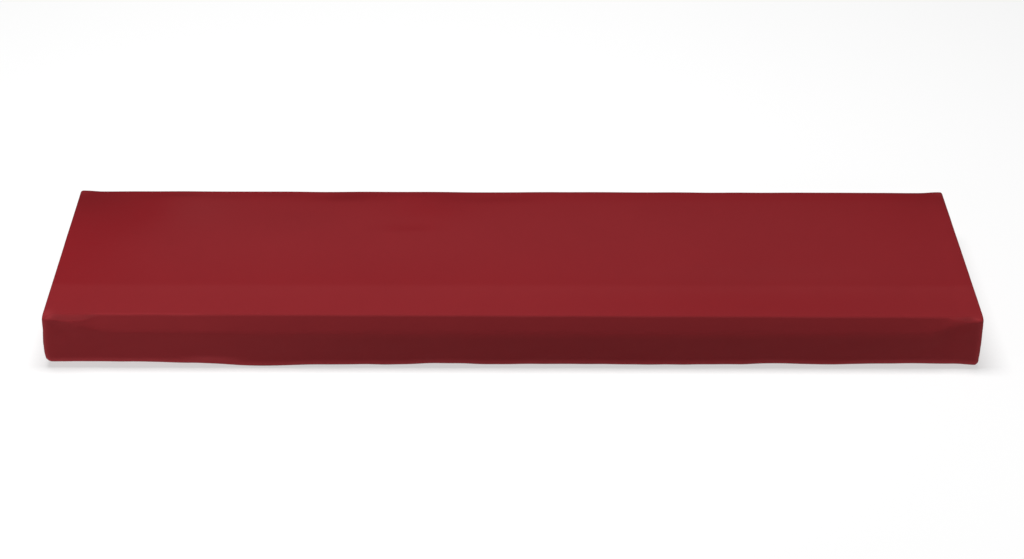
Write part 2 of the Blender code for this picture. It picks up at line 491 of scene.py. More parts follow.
    def swell_shift(self, box: Array) -> Array:
        """How far the ends swell out along X, and are tucked in just below the top.

        Args:
            box: points of the plain box.

        Returns:
            The shift along X.
        """
        size, swell = self.sizes, self.swell
        amount = np.where(box[:, 0] < 0, -swell.left, swell.right)
        down = np.clip((size.top - box[:, 2]) / size.height, 0.0, 1.0)
        power = math.log(0.5) / math.log(swell.peak)
        at_end = 1 - ease(0.0, swell.fade, self.end_distance(box[:, 0]))
        forward = 1 - swell.lost_at_back * ease(-size.half_depth, size.half_depth, box[:, 1])
        tuck = -np.sign(box[:, 0]) * swell.tuck * bell(down - swell.tuck_place, swell.tuck_reach)
        front_tip = np.array([size.half_length, -size.half_depth, size.top])
        from_tip = np.linalg.norm(np.abs(box * (1.0, 0.0, 0.0)) + box * (0.0, 1.0, 1.0) - front_tip, axis=1)
        tip = -np.sign(box[:, 0]) * swell.tip_draw * bell(from_tip, swell.tip_reach)
        return (amount * np.sin(math.pi * down**power) * forward + tuck) * at_end + tip

    def corner_fold_shift(self, box: Array) -> Array:
        """How far the slanting folds beside the cheeks press the front in.

        Args:
            box: points of the plain box.

        Returns:
            The shift along Y.
        """
        size = self.sizes
        depth = np.zeros(len(box))
        for x_up, z_up, x_low, z_low, half_width, fold_depth in CORNER_FOLDS:
            upper = np.array([x_up, z_up])
            run = np.array([x_low, z_low]) - upper
            place = box[:, [0, 2]] - upper
            along = np.clip(place @ run / (run @ run), 0.0, 1.0)
            away = np.linalg.norm(place - along[:, None] * run, axis=1)
            depth += fold_depth * (1 - ease(0.0, half_width * 2, away))
        on_front = 1 - ease(0.0, size.hem_radius, box[:, 1] + size.half_depth)
        return depth * on_front

    def corner_nearness(self, places: Places, width: float) -> Array:
        """How near places lie to the four upright corners of the wall.

        Args:
            places: places on the cloth.
            width: how wide the corners count.

        Returns:
            Shares, 1 at the corners and next to nothing at twice the width from them.
        """
        size = self.sizes
        away = np.maximum(size.half_length - np.abs(places.x), size.half_depth - np.abs(places.y))
        return bell(away, width)

    def gather_shift(self, places: Places) -> Array:
        """How far the hem ripples up and down where the elastic draws it in.

        Args:
            places: places on the cloth.

        Returns:
            The shift along Z.
        """
        size = self.sizes
        drawn = ease(size.hem_radius, size.hem_width, places.inset)
        more = 1 + (self.gather_at_corners - 1) * self.corner_nearness(places, size.mouth_corner)
        ripple = self.gathers.round_ring(places.around, size.round_trip)
        return self.gather_height * drawn * more * ripple

    def lip_shift(self, places: Places) -> tuple[Array, Array]:
        """The roll of the hem round its elastic, and the turned-over cloth that lies on it.

        Args:
            places: places on the cloth; lip is the way past the mouth's edge.

        Returns:
            How far the cloth goes on inwards, and how far it rises.
        """
        half_turn = math.pi * self.lip_radius
        angle = np.clip(places.lip / half_turn, 0.0, 1.0) * math.pi
        back = np.maximum(places.lip - half_turn, 0.0)
        return self.lip_radius * np.sin(angle) - back, self.lip_radius * (1 - np.cos(angle))

    def seam_shift(self, places: Places) -> Array:
        """How far the seam beside each upright corner draws the end's cloth in, puckers and all.

        Args:
            places: places on the cloth.

        Returns:
            The shift along the way the cloth faces.
        """
        size = self.sizes
        on_end = np.abs(places.x) > size.half_length - HAIR
        offset = size.half_depth - np.abs(places.y) - self.seam_offset
        groove = self.seam_depth * bell(offset, self.seam_width)
        shoulders = bell(np.abs(offset) - self.shoulder_place, self.shoulder_width)
        way = places.down + places.inset
        pucker = 1 + self.pucker_share * (np.cos(2 * math.pi * way / self.pucker_length) - 1)
        started = ease(self.seam_start, self.seam_full, places.down)
        return on_end * started * (self.shoulder_share * self.seam_depth * shoulders * pucker - groove)

    def unevenness(self, places: Places, box: Array, facing: Array) -> Array:
        """Fine waves of the cloth, along the way it faces.

        Args:
            places: places on the cloth.
            box: points of the plain box.
            facing: the way the cloth faces at each point.

        Returns:
            The shift along that way.
        """
        size = self.sizes
        top = self.top_waves.over_plane(box[:, 0], box[:, 1])
        side_way = places.down * self.side_waves_slant + places.inset
        side = self.side_waves.over_plane(places.around, side_way)
        upward = np.clip(facing[:, 2], 0.0, 1.0)
        off_middle = 1 - bell(np.hypot(box[:, 0], box[:, 1]), self.level_middle)
        below = ease(0.0, self.even_below_fold * size.height, places.down)
        return top * upward * off_middle + side * (1 - upward) * below

    def shaped(self, places: Places) -> Array:
        """Take places of the cloth to where they lie on the instrument.

        Args:
            places: places on the plain box.

        Returns:
            The points on the instrument.
        """
        inwards, rise = self.lip_shift(places)
        turned = Places(places.x, places.y, places.down, places.inset + inwards, places.lip, places.around)
        box = self.boxed(turned)
        points, facing = self.rounded(box)
        points = self.rounded_mouth(points, turned.inset)
        points += facing * (self.unevenness(places, box, facing) + self.seam_shift(places))[:, None]
        points[:, 0] += self.swell_shift(box)
        points[:, 1] += self.fold_shift(box) + self.corner_fold_shift(box)
        points[:, 2] += self.top_shift(box) + self.hem_shift(box, turned.inset)
        points[:, 2] += self.gather_shift(turned) + rise
        return points


class Wire:
    """A value on its way between nodes. Sums and products of wires add Math nodes."""

    def __init__(self, board: "Board", socket: bpy.types.NodeSocket) -> None:
        """Keep the socket that the value comes from."""
        self.board = board
        self.socket = socket

    def _math(self, operation: str, first: "Wire | float", second: "Wire | float") -> "Wire":
        """Add a Math node for an operation on two values."""
        return self.board.add("ShaderNodeMath", {"operation": operation}, {0: first, 1: second})

    def __add__(self, other: "Wire | float") -> "Wire":
        """Sum."""
        return self._math("ADD", self, other)

    __radd__ = __add__

    def __sub__(self, other: "Wire | float") -> "Wire":
        """Difference."""
        return self._math("SUBTRACT", self, other)

    def __rsub__(self, other: "Wire | float") -> "Wire":
        """Difference, with this value taken away."""
        return self._math("SUBTRACT", other, self)

    def __mul__(self, other: "Wire | float") -> "Wire":
        """Product."""
        return self._math("MULTIPLY", self, other)

    def __truediv__(self, other: "Wire | float") -> "Wire":
        """Quotient."""
        return self._math("DIVIDE", self, other)

    def __abs__(self) -> "Wire":
        """Size without sign."""
        return self.board.add("ShaderNodeMath", {"operation": "ABSOLUTE"}, {0: self})


class Board:
    """The node tree of one material."""

    def __init__(self, name: str) -> None:
        """Make the material and clear its tree.

        Args:
            name: the material's name.
        """
        self.material = bpy.data.materials.new(name)
        self.material.use_nodes = True
        self.tree = self.material.node_tree
        self.tree.nodes.clear()

    def add(
        self,
        kind: str,
        settings: dict[str, Any] | None = None,
        sockets: dict[int | str, Any] | None = None,
        output: int | str = 0,
    ) -> Wire:
        """Add one node.

        Args:
            kind: the node's type.
            settings: its properties, set first.
            sockets: what each input gets, a value or a wire.
            output: which output the result is taken from.

        Returns:
            The wire from that output.
        """
        node = self.tree.nodes.new(kind)
        for name, value in (settings or {}).items():
            setattr(node, name, value)
        for name, value in (sockets or {}).items():
            if isinstance(value, Wire):
                self.tree.links.new(value.socket, node.inputs[name])
            else:
                node.inputs[name].default_value = value
        return Wire(self, node.outputs[output]) if node.outputs else Wire(self, None)

    def one(self, operation: str, value: Wire) -> Wire:
        """A Math node on one value, such as FRACT or SINE."""
        return self.add("ShaderNodeMath", {"operation": operation}, {0: value})

    def zigzag(self, value: Wire) -> Wire:
        """Down from 1 to 0 and up again, once between each two whole numbers."""
        return abs(self.one("FRACT", value) - 0.5) * 2.0

    def where(self) -> Wire:
        """Places on the piece, in metres."""
        return self.add("ShaderNodeTexCoord", output="Object")

    def axis(self, place: Wire, name: str) -> Wire:
        """One number of a place, by the name of its axis."""
        return self.add("ShaderNodeSeparateXYZ", sockets={0: place}, output=name)

    def counted(self, wale: float, course: float) -> tuple[Wire, Wire]:
        """Places on the cloth laid out flat, counted in wales across and courses along."""
        flat = self.add("ShaderNodeUVMap", {"uv_map": "cloth"})
        return self.axis(flat, "X") / wale, self.axis(flat, "Y") / course

    def larger(self, first: Wire, second: Wire) -> Wire:
        """The larger of two values."""
        return self.add("ShaderNodeMath", {"operation": "MAXIMUM"}, {0: first, 1: second})

    def blended(self, share: Wire | float, first: Any, second: Any) -> Wire:
        """Mix two colours: first at share 0, second at share 1."""
        colours = {0: share, 6: first, 7: second}
        return self.add("ShaderNodeMix", {"data_type": "RGBA"}, colours, output=2)

    def scaled(self, colour: Wire, factor: Wire) -> Wire:
        """Make a colour brighter or darker by a factor."""
        return self.add("ShaderNodeVectorMath", {"operation": "SCALE"}, {0: colour, "Scale": factor})

    def noise(self, where: Wire, scale: float, detail: float = 2.0, roughness: float = 0.5) -> Wire:
        """Cloudy values round one half, at a scale in clouds per metre."""
        sockets = {"Vector": where, "Scale": scale, "Detail": detail, "Roughness": roughness}
        return self.add("ShaderNodeTexNoise", sockets=sockets)

    def bump(self, relief: Wire, height: float, strength: float) -> Wire:
        """Fine relief of a height in metres, as a shading normal."""
        sockets = {"Strength": strength, "Distance": height, "Height": relief}
        return self.add("ShaderNodeBump", sockets=sockets)

    def carried(self, name: str) -> Wire:
        """A value that the mesh carries at its points."""
        return self.add("ShaderNodeAttribute", {"attribute_name": name}, output="Fac")

    def finish(self, **sockets: Any) -> bpy.types.Material:
        """Add the surface shader and the output.

        Args:
            sockets: what the shader's inputs get, with low lines for blanks in their names.

        Returns:
            The finished material.
        """
        named = {name.replace("_", " "): value for name, value in sockets.items()}
        surface = self.add("ShaderNodeBsdfPrincipled", sockets=named)
        self.add("ShaderNodeOutputMaterial", sockets={"Surface": surface})
        return self.material


def with_alpha(colour: Colour) -> tuple[float, float, float, float]:
    """A colour with full cover."""
    return (*colour, 1.0)


@dataclass(frozen=True)
class KnitFinish:
    """Stretch knit: rows of loops at real size, fuzzy fibres, painted light and shade with a painted sheen
    haze, and cloth that is paler where it is stretched and where highlights are painted.
    """

    name: str = "red_knit_face"
    # the red without and with a painted whitish sheen haze
    colour_without_haze: Colour = (0.239, 0.0060, 0.0105)
    colour_with_haze: Colour = (0.239, 0.0270, 0.0305)
    stretched_and_highlight_colour: Colour = (0.303, 0.0290, 0.0350)
    # darker red for the random mottle, and painted shade between the loops
    mottle_and_gap_shade_colour: Colour = (0.177, 0.0080, 0.0116)
    wale: float = 0.00080
    course: float = 0.00066
    loop_height: float = 0.00016
    loop_slant: float = 0.3
    clouds_per_metre: float = 7.0
    mottle_per_metre: float = 70.0
    fibres_per_metre: float = 1500.0
    cloud_tone: float = 0.30
    mottle_tone: float = 0.24
    fibre_tone: float = 0.35
    loop_gap_shade: float = 0.10
    shade_share: float = 0.42
    stretched_and_highlight_share: float = 0.55
    fuzz_share: float = 0.10
    fibre_relief: float = 0.9
    mottle_relief: float = 0.8
    relief_strength: float = 0.55
    roughness: float = 0.74
    uneven_roughness: float = 0.14
    stretched_gloss: float = 0.06
    specular: float = 0.10
    sheen: float = 0.06
    sheen_roughness: float = 0.45
    sheen_tint: Colour = (1.0, 0.62, 0.62)

    def loops(self, board: Board) -> Wire:
        """Height of the knit's loops, from 0 between them to 1 on their legs.

        Args:
            board: the tree that gets the nodes.

        Returns:
            The height at each place of the cloth.
        """
        across, along = board.counted(self.wale, self.course)
        slant = board.zigzag(along) * self.loop_slant
        return board.larger(board.zigzag(across + slant), board.zigzag(across - slant))

    def material(self) -> bpy.types.Material:
        """Build the finish.

        Returns:
            The material.
        """
        board = Board(self.name)
        where = board.where()
        loops = self.loops(board)
        clouds = board.noise(where, self.clouds_per_metre, detail=3.0)
        mottle = board.noise(where, self.mottle_per_metre, detail=4.0, roughness=0.6)
        fibres = board.noise(where, self.fibres_per_metre, detail=2.0)
        # painted light and shade, carried by the mesh, scales the colour below
        painted_light_and_shade = board.carried("painted_light_and_shade")
        # how tight the cloth is drawn, with painted highlights at tips, corners and the lower edge
        stretch_and_highlight = board.carried("stretch_and_highlight")
        # painted sheen haze, carried by the mesh
        hazed = board.blended(
            board.carried("sheen_haze"), with_alpha(self.colour_without_haze), with_alpha(self.colour_with_haze)
        )
        tone = (clouds - 0.5) * self.cloud_tone + (mottle - 0.5) * self.mottle_tone
        tone = tone + (fibres - 0.5) * self.fibre_tone
        # darker between the loops: painted shade
        share = self.shade_share - tone - loops * self.loop_gap_shade
        shaded = board.blended(share, hazed, with_alpha(self.mottle_and_gap_shade_colour))
        tight_and_lit_share = stretch_and_highlight * self.stretched_and_highlight_share + fibres * self.fuzz_share
        drawn = board.blended(tight_and_lit_share, shaded, with_alpha(self.stretched_and_highlight_colour))
        colour = board.scaled(drawn, painted_light_and_shade + 1.0)
        relief = loops + (fibres - 0.5) * self.fibre_relief + (mottle - 0.5) * self.mottle_relief
        bump = board.bump(relief, self.loop_height, self.relief_strength)
        uneven = (mottle - 0.5) * self.uneven_roughness
        return board.finish(
            Base_Color=colour,
            Roughness=self.roughness + uneven - stretch_and_highlight * self.stretched_gloss,
            Normal=bump,
            Specular_IOR_Level=self.specular,
            Sheen_Weight=self.sheen,
            Sheen_Roughness=self.sheen_roughness,
            Sheen_Tint=with_alpha(self.sheen_tint),
        )


@dataclass(frozen=True)
class KnitBackFinish:
    """The knit's inner face: flat bows of yarn across the rows, duller than the outside."""

    name: str = "red_knit_back"
    colour: Colour = (0.205, 0.0130, 0.0180)
    # painted shade between the bows of yarn
    bow_gap_shade_colour: Colour = (0.120, 0.0055, 0.0080)
    wale: float = 0.00080
    course: float = 0.00066
    bow_height: float = 0.00012
    bow_sway: float = 0.22
    bow_gap_shade: float = 0.35
    gap_share: float = 0.55
    fibres_per_metre: float = 1500.0
    fibre_tone: float = 0.4
    fibre_relief: float = 0.6
    relief_strength: float = 0.5
    roughness: float = 0.82
    uneven_roughness: float = 0.1
    specular: float = 0.12

    def bows(self, board: Board) -> Wire:
        """Height of the yarn's bows, from 0 between the courses to 1 on their backs.

        Args:
            board: the tree that gets the nodes.

        Returns:
            The height at each place of the cloth.
        """
        across, along = board.counted(self.wale, self.course)
        sway = board.one("SINE", across * (2 * math.pi)) * self.bow_sway
        return board.zigzag(along + sway)

    def material(self) -> bpy.types.Material:
        """Build the finish.

        Returns:
            The material.
        """
        board = Board(self.name)
        where = board.where()
        bows = self.bows(board)
        fibres = board.noise(where, self.fibres_per_metre, detail=2.0)
        share = self.gap_share - bows * self.bow_gap_shade + (fibres - 0.5) * self.fibre_tone
        colour = board.blended(share, with_alpha(self.colour), with_alpha(self.bow_gap_shade_colour))
        relief = bows + (fibres - 0.5) * self.fibre_relief
        bump = board.bump(relief, self.bow_height, self.relief_strength)
        return board.finish(
            Base_Color=colour,
            Roughness=self.roughness + (fibres - 0.5) * self.uneven_roughness,
            Normal=bump,
            Specular_IOR_Level=self.specular,
        )


@dataclass(frozen=True)
class ThreadFinish:
    """Spun polyester sewing thread with a fine twist."""

    name: str = "red_sewing_thread"
    colour: Colour = (0.200, 0.0120, 0.0170)
    highlight: Colour = (0.330, 0.0300, 0.0380)
    twist: float = 0.0006
    ply_height: float = 0.00006
    ply_tone: float = 0.5
    fuzz_per_metre: float = 2600.0
    fuzz_tone: float = 0.4
    relief_strength: float = 0.5
    roughness: float = 0.5
    uneven_roughness: float = 0.15
    sheen: float = 0.15

    def material(self) -> bpy.types.Material:
        """Build the finish.

        Returns:
            The material.
        """
        board = Board(self.name)
        where = board.where()
        ply = board.zigzag((board.axis(where, "X") + board.axis(where, "Y")) / self.twist)
        fuzz = board.noise(where, self.fuzz_per_metre, detail=2.0)
        share = ply * self.ply_tone + fuzz * self.fuzz_tone
        colour = board.blended(share, with_alpha(self.colour), with_alpha(self.highlight))
        bump = board.bump(ply + fuzz, self.ply_height, self.relief_strength)
        return board.finish(
            Base_Color=colour,
            Roughness=self.roughness + fuzz * self.uneven_roughness,
            Normal=bump,
            Sheen_Weight=self.sheen,
        )


@dataclass(frozen=True)
class FloorFinish:
    """Plain pale top of a light table, as for photos that are cut out on white: it glows a little itself."""

    name: str = "pale_floor"
    colour: Colour = (0.42, 0.42, 0.42)
    paler_by: float = 1.02
    clouds_per_metre: float = 0.8
    roughness: float = 0.9
    specular: float = 0.1
    glow: float = 0.56

    def material(self) -> bpy.types.Material:
        """Build the finish.

        Returns:
            The material.
        """
        board = Board(self.name)
        where = board.where()
        tone = board.noise(where, self.clouds_per_metre, detail=1.0)
        paler = tuple(value * self.paler_by for value in self.colour)
        colour = board.blended(tone, with_alpha(self.colour), with_alpha(paler))
        return board.finish(
            Base_Color=colour,
            Roughness=self.roughness,
            Specular_IOR_Level=self.specular,
            Emission_Color=with_alpha((1.0, 1.0, 1.0)),
            Emission_Strength=self.glow,
        )


def piece_of(name: str, shape: bmesh.types.BMesh, *finishes: bpy.types.Material) -> bpy.types.Object:
    """Turn a finished shape into a piece of the scene.

    Args:
        name: name of the piece and of its mesh.
        shape: the shape, which is freed.
        finishes: its materials, in the order of its slots.

    Returns:
        The piece.
    """
    mesh = bpy.data.meshes.new(name)
    shape.to_mesh(mesh)
    shape.free()
    for finish in finishes:
        mesh.materials.append(finish)
    piece = bpy.data.objects.new(name, mesh)
    bpy.context.scene.collection.objects.link(piece)
    return piece


@dataclass
class CoverCloth:
    """The cover's one sheet of cloth: top, wall, turned-in hem and the lip rolled round the elastic."""

    form: CoverForm = field(default_factory=CoverForm)
    thickness: float = 0.0010
    top_step: float = 0.0096
    end_step: float = 0.0042
    wall_step: float = 0.0042
    lower_wall_step: float = 0.0060
    hem_step: float = 0.0040
    edge_steps: tuple[float, ...] = (
        0.0, 0.0005, 0.0010, 0.0016, 0.0023, 0.0031, 0.0040, 0.0050, 0.0060, 0.0066, 0.0074, 0.0088
    )
    fine_reach: float = 0.090
    fine_reach_back: float = 0.040
    finer_at_bend: int = 3
    split_above: float = 1.1
    lip_rows: int = 5
    lip_turnover: float = 0.0110

    def lines(self, half: float, fine_start: float, fine_end: float) -> list[float]:
        """Places of the grid's lines across the top, closer together at the edges.

        Args:
            half: half of the top's size along this axis.
            fine_start: how far the closer lines reach from the low side.
            fine_end: how far they reach from the high side.

        Returns:
            The places, from low to high.
        """
        last = self.edge_steps[-1]
        low = [-half + step for step in self.edge_steps]
        low += spaced(-half + last, -half + fine_start, self.end_step)[1:]
        high = [half - step for step in self.edge_steps]
        high += spaced(half - last, half - fine_end, self.end_step)[1:]
        middle = spaced(-half + fine_start, half - fine_end, self.top_step)[1:-1]
        return sorted(low + middle + high)

    def rings(self) -> list[tuple[float, float, float]]:
        """The rows past the top's edge: down the wall, in under it, and round the lip.

        Returns:
            For each row its way down, its inset and its way round the lip.
        """
        size = self.form.sizes
        edge = [step for step in self.edge_steps if 0 < step <= size.hem_radius]
        bend = self.form.fold.slope_height
        wall = edge + spaced(edge[-1], bend - self.wall_step, self.wall_step)[1:]
        above_bend, below_bend = bend - self.wall_step, bend + self.wall_step
        wall += spaced(above_bend, below_bend, self.wall_step / self.finer_at_bend)[1:]
        wall += spaced(below_bend, size.height - edge[-1], self.lower_wall_step)[1:]
        wall += [size.height - step for step in reversed(edge[:-1])] + [size.height]
        hem = edge + spaced(edge[-1], size.hem_width, self.hem_step)[1:]
        half_turn = math.pi * self.form.lip_radius
        lip = spaced(0.0, half_turn, half_turn / self.lip_rows)[1:]
        lip += spaced(half_turn, half_turn + self.lip_turnover, self.hem_step)[1:]
        rows = [(down, 0.0, 0.0) for down in wall]
        rows += [(size.height, inset, 0.0) for inset in hem]
        rows += [(size.height, size.hem_width, way) for way in lip]
        return rows

    def grid(self) -> bmesh.types.BMesh:
        """The top's grid, each point carrying its place on the plain box.

        Returns:
            The sheet, with the layers place and way.
        """
        size = self.form.sizes
        xs = self.lines(size.half_length, self.fine_reach, self.fine_reach)
        ys = self.lines(size.half_depth, self.fine_reach, self.fine_reach_back)
        columns, rows = len(xs) - 1, len(ys) - 1
        sheet = bmesh.new()
        bmesh.ops.create_grid(sheet, x_segments=columns, y_segments=rows, size=0.5)
        place = sheet.verts.layers.float_vector.new("place")
        way = sheet.verts.layers.float_vector.new("way")
        for vert in sheet.verts:
            column = round((vert.co.x + 0.5) * columns)
            row = round((vert.co.y + 0.5) * rows)
            vert[place] = (xs[column], ys[row], 0.0)
            vert[way] = (0.0, 0.0, 0.0)
        return sheet

    def next_row(
        self, sheet: bmesh.types.BMesh, ring: list[bmesh.types.BMEdge], row: tuple[float, float, float]
    ) -> list[bmesh.types.BMEdge]:
        """Add one row of cloth past the sheet's edge.

        Args:
            sheet: the sheet.
            ring: the edges round it.
            row: way down, inset and way round the lip of the new row.

        Returns:
            The edges round the new row.
        """
        way = sheet.verts.layers.float_vector["way"]
        made = bmesh.ops.extrude_edge_only(sheet, edges=ring)["geom"]
        for vert in (item for item in made if isinstance(item, bmesh.types.BMVert)):
            vert[way] = row
        return [item for item in made if isinstance(item, bmesh.types.BMEdge) and item.is_boundary]

    def halved(self, sheet: bmesh.types.BMesh, ring: list[bmesh.types.BMEdge]) -> list[bmesh.types.BMEdge]:
        """Split the longer edges round the sheet in two.

        Args:
            sheet: the sheet.
            ring: the edges round it.

        Returns:
            The edges that are round it then.
        """
        place = sheet.verts.layers.float_vector["place"]
        lengths = [(edge.verts[0][place] - edge.verts[1][place]).length for edge in ring]
        longest = self.split_above * self.end_step
        longer = [edge for edge, length in zip(ring, lengths) if length > longest]
        bmesh.ops.subdivide_edges(sheet, edges=longer, cuts=1)
        return [edge for edge in sheet.edges if edge.is_boundary]

    def drawn_down(self, sheet: bmesh.types.BMesh) -> None:
        """Carry the top's edge on, row by row, down the wall and, with more points, round the hem.

        Args:
            sheet: the sheet, so far the top alone.
        """
        rows = self.rings()
        on_wall = [row for row in rows if row[1] == 0]
        ring = [edge for edge in sheet.edges if edge.is_boundary]
        for row in on_wall:
            ring = self.next_row(sheet, ring, row)
        ring = self.halved(sheet, ring)
        for row in rows[len(on_wall):]:
            ring = self.next_row(sheet, ring, row)

    def around(self, x: Array, y: Array) -> Array:
        """Way round the wall from its front left corner, for places on the top's edge.

        Args:
            x: places along X.
            y: places along Y.

        Returns:
            The way round at each place.
        """
        size = self.form.sizes
        front = x + size.half_length
        right = size.length + y + size.half_depth
        back = size.length + size.depth + size.half_length - x
        left = size.round_trip - (y + size.half_depth)
        on_back = y > size.half_depth - HAIR
        on_right = x > size.half_length - HAIR
        on_front = y < -size.half_depth + HAIR
        return np.where(on_front, front, np.where(on_right, right, np.where(on_back, back, left)))

    def places(self, sheet: bmesh.types.BMesh) -> Places:
        """The places that the sheet's points carry.

        Args:
            sheet: the finished sheet.

        Returns:
            The places, in the order of its points.
        """
        place = sheet.verts.layers.float_vector["place"]
        way = sheet.verts.layers.float_vector["way"]
        where = np.array([vert[place] for vert in sheet.verts])
        ways = np.array([vert[way] for vert in sheet.verts])
        around = self.around(where[:, 0], where[:, 1])
        return Places(where[:, 0], where[:, 1], ways[:, 0], ways[:, 1], ways[:, 2], around)

    def unroll(self, mesh: bpy.types.Mesh, places: Places) -> None:
        """Lay the cloth out flat in its own sizes, so that the knit follows it over every edge.

        Args:
            mesh: the cloth.
            places: the places of its points.
        """
        size = self.form.sizes
        way = places.down + places.inset + places.lip
        layout = mesh.uv_layers.new(name="cloth")
        flat = np.zeros((len(mesh.loops), 2))
        for polygon in mesh.polygons:
            corners = list(polygon.vertices)
            x, y, out = places.x[corners], places.y[corners], way[corners]
            on_wall = out.max() > 0
            if on_wall and np.ptp(y) < HAIR and abs(y[0]) > size.half_depth - HAIR:
                y = y + np.sign(y[0]) * out
            elif on_wall:
                x = x + np.sign(x[0]) * out
            flat[list(polygon.loop_indices)] = np.stack([x, y], axis=1)
        layout.data.foreach_set("uv", flat.ravel())

    def carry(self, mesh: bpy.types.Mesh, name: str, values: Array) -> None:
        """Let the mesh carry a value at each point, for the finish to read."""
        layer = mesh.attributes.new(name, "FLOAT", "POINT")
        layer.data.foreach_set("value", values.astype(np.float32))

    def build(self) -> bpy.types.Object:
        """Make the cloth.

        Returns:
            The cloth, in place.
        """
        sheet = self.grid()
        self.drawn_down(sheet)
        places = self.places(sheet)
        points = self.form.shaped(places)
        for vert, point in zip(sheet.verts, points):
            vert.co = point
        bmesh.ops.recalc_face_normals(sheet, faces=sheet.faces[:])
        cloth = piece_of("cover_cloth", sheet, KnitFinish().material(), KnitBackFinish().material())
        mesh = cloth.data
        mesh.shade_smooth()
        self.unroll(mesh, places)
        tones = PaintedClothLight(self.form)
        # tightness with painted highlights, painted light and shade, and a painted sheen haze, carried for
        # the finish
        self.carry(mesh, "stretch_and_highlight", tones.stretch_and_highlight(places, points))
        self.carry(mesh, "painted_light_and_shade", tones.painted_light_and_shade(places, points))
        self.carry(mesh, "sheen_haze", tones.sheen_haze(places, points))
        body = cloth.modifiers.new("cloth body", "SOLIDIFY")
        body.thickness = self.thickness
        body.offset = -1.0
        body.use_even_offset = True
        body.material_offset = 1
        return cloth

    def dress(self, cloth: bpy.types.Object) -> None:
        """Tell the frame what the cloth is and what it stands for.

        Args:
            cloth: the cloth.
        """
        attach(cloth, "root")
        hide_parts("cover")


# Painted shade of the top, darker towards the back: place along Y, change of tone, change of paleness
# (painted sheen haze)
DEPTH_SHADE_AND_HAZE = (
    (-0.168, 0.0, 0.0),
    (-0.087, 0.01, 0.0),
    (-0.080, -0.04, -0.25),
    (0.011, -0.04, -0.10),
    (0.078, -0.06, -0.08),
    (0.131, -0.09, -0.15),
    (0.152, -0.12, -0.35),
    (0.161, -0.16, -0.35),
    (0.166, -0.30, -0.35),
)

# Patches of painted shade on the top where its dips and creases are shaded, and one painted lighter ridge:
# centre X and Y, half width and half depth, change of tone
PAINTED_SHADE_PATCHES = (
    (-0.640, 0.150, 0.070, 0.040, -0.12),
    (-0.600, 0.110, 0.130, 0.080, -0.08),
    (0.645, 0.165, 0.070, 0.060, -0.09),
    (-0.240, 0.156, 0.035, 0.016, -0.09),
    (-0.092, 0.152, 0.035, 0.030, -0.06),
    (-0.316, 0.080, 0.060, 0.040, -0.04),
    (0.330, -0.060, 0.240, 0.200, -0.03),
    (-0.540, 0.148, 0.020, 0.006, -0.04),
    (-0.490, 0.153, 0.036, 0.004, -0.13),
    (-0.425, 0.149, 0.030, 0.006, -0.08),
    (-0.350, 0.154, 0.040, 0.004, -0.10),
    (-0.250, 0.147, 0.060, 0.009, -0.08),
    (-0.170, 0.156, 0.050, 0.004, -0.08),
    (-0.020, 0.142, 0.050, 0.009, -0.08),
    (-0.149, 0.066, 0.035, 0.007, -0.05),
    (-0.178, 0.043, 0.016, 0.008, 0.03),
    (0.420, -0.128, 0.260, 0.042, -0.025),
)

# Patches of the top with less or more painted sheen haze, deeper or paler red: the same columns, with the
# change of paleness
SHEEN_HAZE_PATCHES = (
    (-0.630, 0.060, 0.100, 0.140, -0.45),
    (-0.580, 0.130, 0.080, 0.050, -0.20),
    (-0.470, 0.120, 0.050, 0.050, 0.18),
    (-0.540, 0.100, 0.050, 0.050, -0.15),
    (-0.250, 0.147, 0.070, 0.012, -0.15),
    (-0.020, 0.142, 0.060, 0.012, -0.15),
    (-0.149, 0.066, 0.040, 0.008, -0.25),
    (-0.120, 0.120, 0.060, 0.040, -0.20),
    (0.600, 0.090, 0.120, 0.090, -0.15),
    (0.360, -0.060, 0.240, 0.030, 0.15),
    (-0.540, -0.130, 0.900, 0.040, -0.10),
    (0.340, -0.128, 0.300, 0.042, -0.20),
)

# Painted light and shade of the front from left to right: place along X, changes of tone on the slope, at its
# foot and on the face, change of paleness (painted sheen haze) of the face
FRONT_LIGHT_AND_HAZE = (
    (-0.645, -0.03, 0.05, 0.08, 0.05),
    (-0.610, -0.04, 0.04, 0.05, 0.00),
    (-0.420, -0.04, 0.04, 0.03, 0.00),
    (-0.300, -0.08, 0.02, -0.02, 0.05),
    (-0.160, -0.10, 0.02, -0.09, 0.00),
    (0.120, -0.10, 0.01, -0.12, -0.05),
    (0.340, -0.08, 0.03, -0.11, -0.03),
    (0.560, -0.02, 0.03, -0.07, 0.00),
    (0.600, 0.05, 0.05, -0.02, 0.00),
    (0.645, 0.05, 0.05, 0.00, 0.05),
)

# Patches of painted shade and light on the front beside the end blocks: place along X, way down, half width,
# half height, change of tone
FRONT_LIGHT_PATCHES = (
    (-0.580, 0.0016, 0.009, 0.0030, -0.13),
    (-0.600, 0.0095, 0.020, 0.0055, 0.09),
    (0.601, 0.0075, 0.012, 0.0050, 0.06),
    (0.627, 0.0030, 0.007, 0.0050, 0.08),
)

# Corners of the top where the cloth is drawn tight and a highlight is painted: place along X and Y, how tight
# and bright
TIGHT_HIGHLIGHT_TIPS = (
    (-0.639, -0.156, 1.0),
    (0.639, -0.164, 0.3),
    (-0.639, 0.164, 1.0),
    (0.639, 0.164, 1.0),
)


